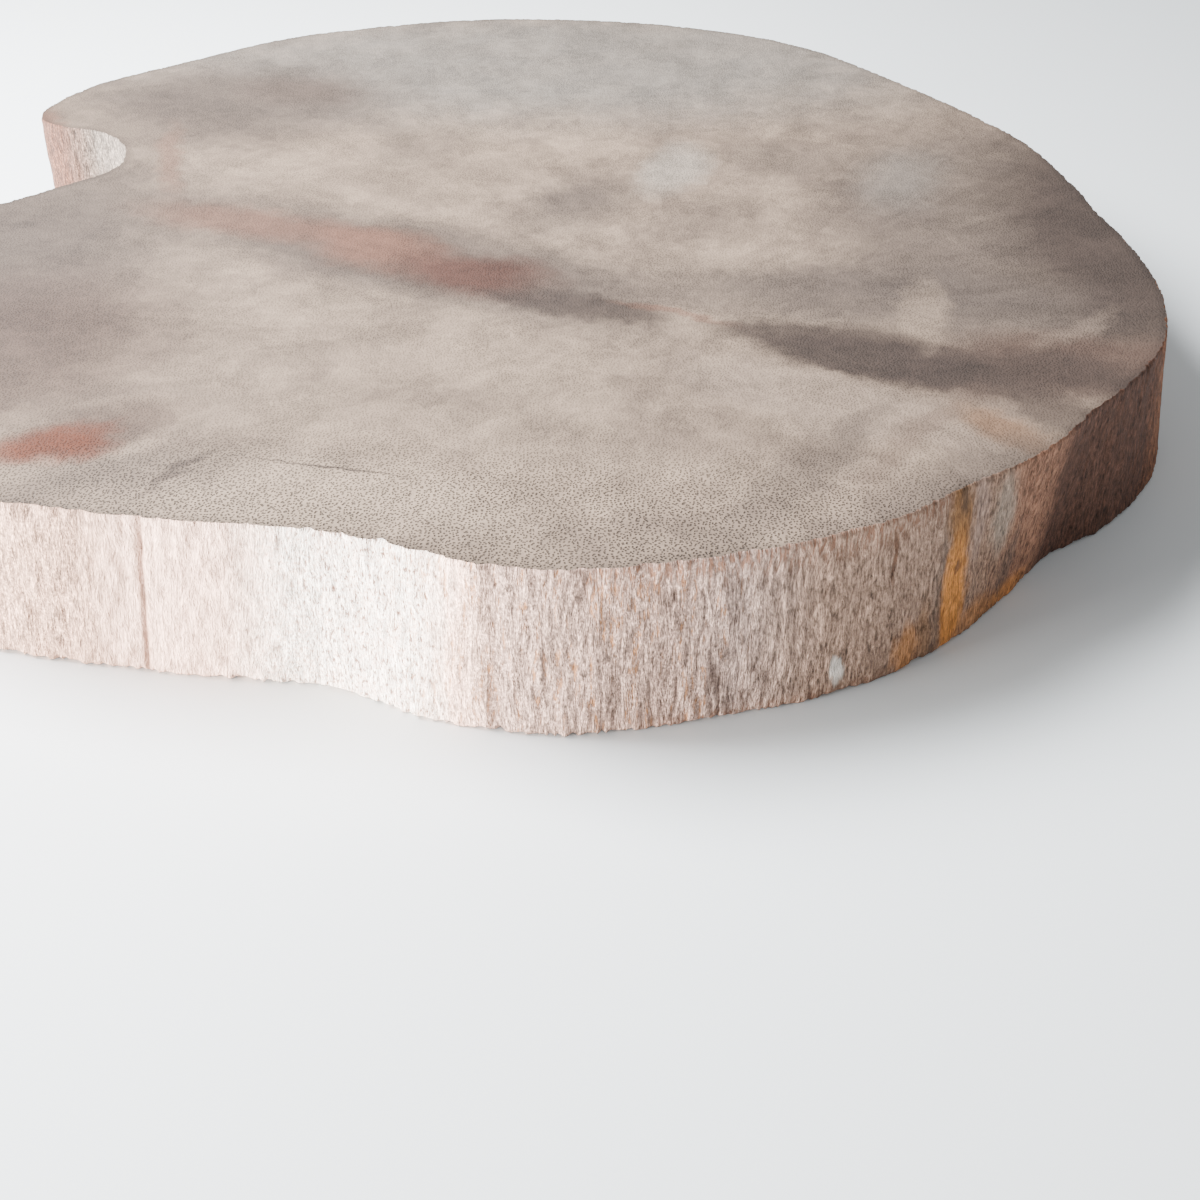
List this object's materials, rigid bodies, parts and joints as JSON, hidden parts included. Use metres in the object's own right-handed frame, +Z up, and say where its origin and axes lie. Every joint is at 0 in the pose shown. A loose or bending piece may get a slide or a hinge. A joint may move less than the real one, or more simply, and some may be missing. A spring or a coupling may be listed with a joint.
{
  "type": "wood slice",
  "caption": "Flat slice sawn across a barkless hardwood trunk, with a wavy lobed outline, a side bay, smooth sawn faces and a fibrous wall.",
  "frame": {"origin": "middle of the outline's bounding box, on the lower sawn face", "axes": "+Z up through the slice's thickness, +X along its longer side"},
  "size_m": [0.1922, 0.1818, 0.022],
  "materials": {
    "wood": "matte, dry, sawn end grain with a weathered fibrous wall"
  },
  "bodies": {
    "root": {"wood_slice": "wood"}
  },
  "joints": []
}
